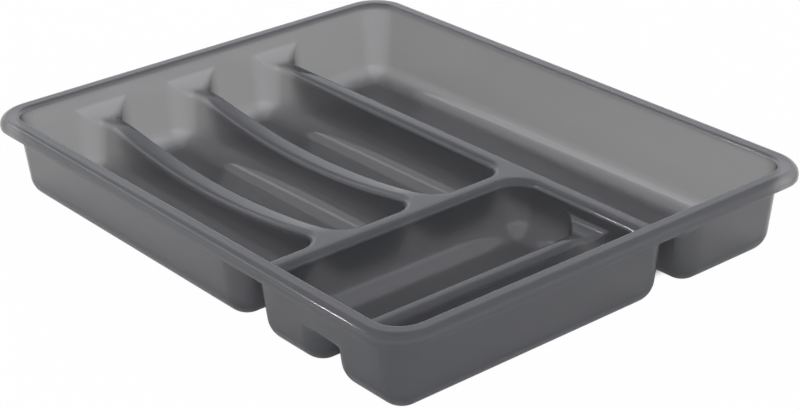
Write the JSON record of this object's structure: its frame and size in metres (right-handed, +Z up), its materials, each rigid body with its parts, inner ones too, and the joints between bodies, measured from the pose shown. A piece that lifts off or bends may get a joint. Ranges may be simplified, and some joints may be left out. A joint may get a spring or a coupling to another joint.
{
  "type": "cutlery tray",
  "caption": "Shallow drawer tray for cutlery in smoky translucent plastic, with long lanes, a wide side lane, a front compartment split by a low ridge, and a rolled rim.",
  "frame": {"origin": "under the centre of the rim, on the plane that the tray stands on", "axes": "+X towards the wide side lane, +Y along the lanes away from the front compartment, +Z up"},
  "size_m": [0.32, 0.4, 0.056],
  "materials": {
    "smoke_plastic": "smoky, hazy see-through plastic with a glossy skin"
  },
  "bodies": {
    "root": {"left_lane_pocket": "smoke_plastic", "left_lane_floor": "smoke_plastic", "middle_lane_pocket": "smoke_plastic", "middle_lane_floor": "smoke_plastic", "right_lane_pocket": "smoke_plastic", "right_lane_floor": "smoke_plastic", "side_lane_pocket": "smoke_plastic", "side_lane_floor": "smoke_plastic", "rear_trough_pocket": "smoke_plastic", "rear_trough_floor": "smoke_plastic", "front_trough_pocket": "smoke_plastic", "front_trough_floor": "smoke_plastic", "left_divider_top": "smoke_plastic", "middle_divider_top": "smoke_plastic", "right_divider_top": "smoke_plastic", "cross_divider_top": "smoke_plastic", "ridge_top": "smoke_plastic", "front_wall": "smoke_plastic", "front_rim": "smoke_plastic", "right_wall": "smoke_plastic", "right_rim": "smoke_plastic", "back_wall": "smoke_plastic", "back_rim": "smoke_plastic", "left_wall": "smoke_plastic", "left_rim": "smoke_plastic"}
  },
  "joints": []
}
